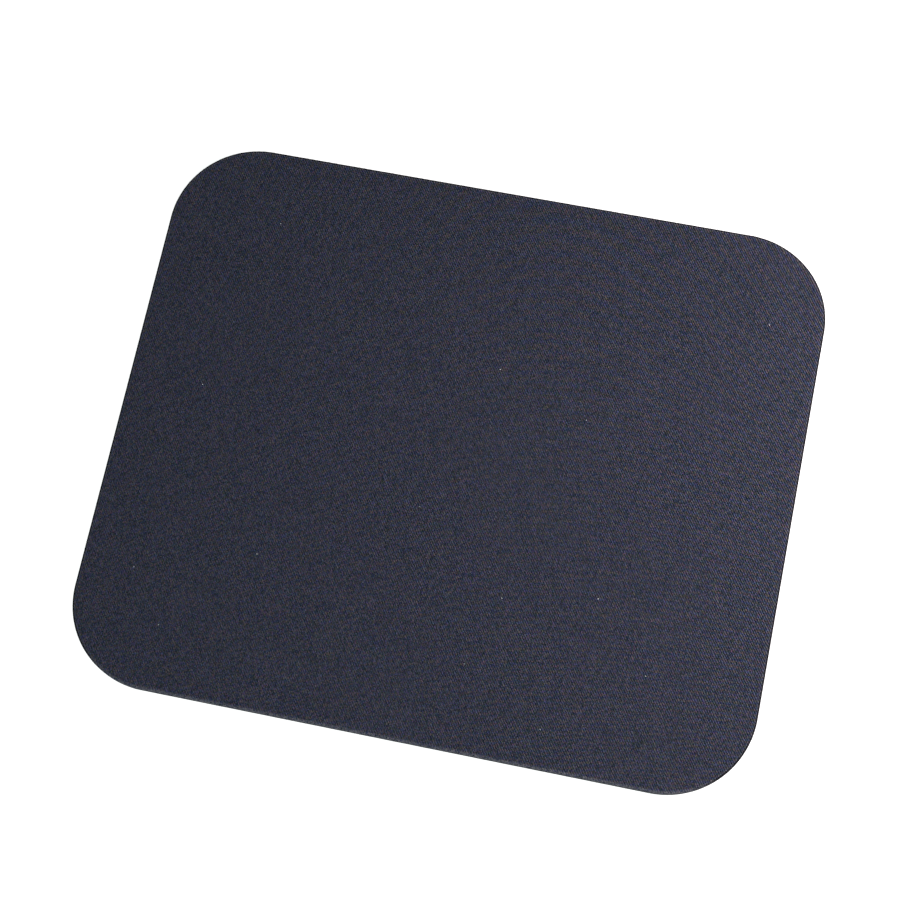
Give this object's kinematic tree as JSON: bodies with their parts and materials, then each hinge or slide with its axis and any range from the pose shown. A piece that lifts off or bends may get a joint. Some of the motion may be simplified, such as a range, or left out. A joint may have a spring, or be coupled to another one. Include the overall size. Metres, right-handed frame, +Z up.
{
  "type": "mouse pad",
  "caption": "Thin flat mouse pad with large rounded corners: a knitted cloth face bonded to a foam core over a non-slip rubber sole.",
  "frame": {"origin": "centre of the underside, where the pad lies on the desk", "axes": "+X along the long side, +Y away from the person who uses it, +Z up out of the cloth face"},
  "size_m": [0.26, 0.22, 0.003],
  "materials": {
    "face_cloth": "fine knitted polyester, matt, dark blue-grey",
    "bond_film": "thin hot-melt film, satin, near black",
    "core_foam": "fine closed-cell foam with a cut wall, matt black",
    "sole_rubber": "embossed non-slip rubber, matt black"
  },
  "bodies": {
    "root": {"grip_sole": "sole_rubber", "sole_bond": "bond_film", "foam_core": "core_foam", "cloth_bond": "bond_film", "cloth_face": "face_cloth"}
  },
  "joints": []
}
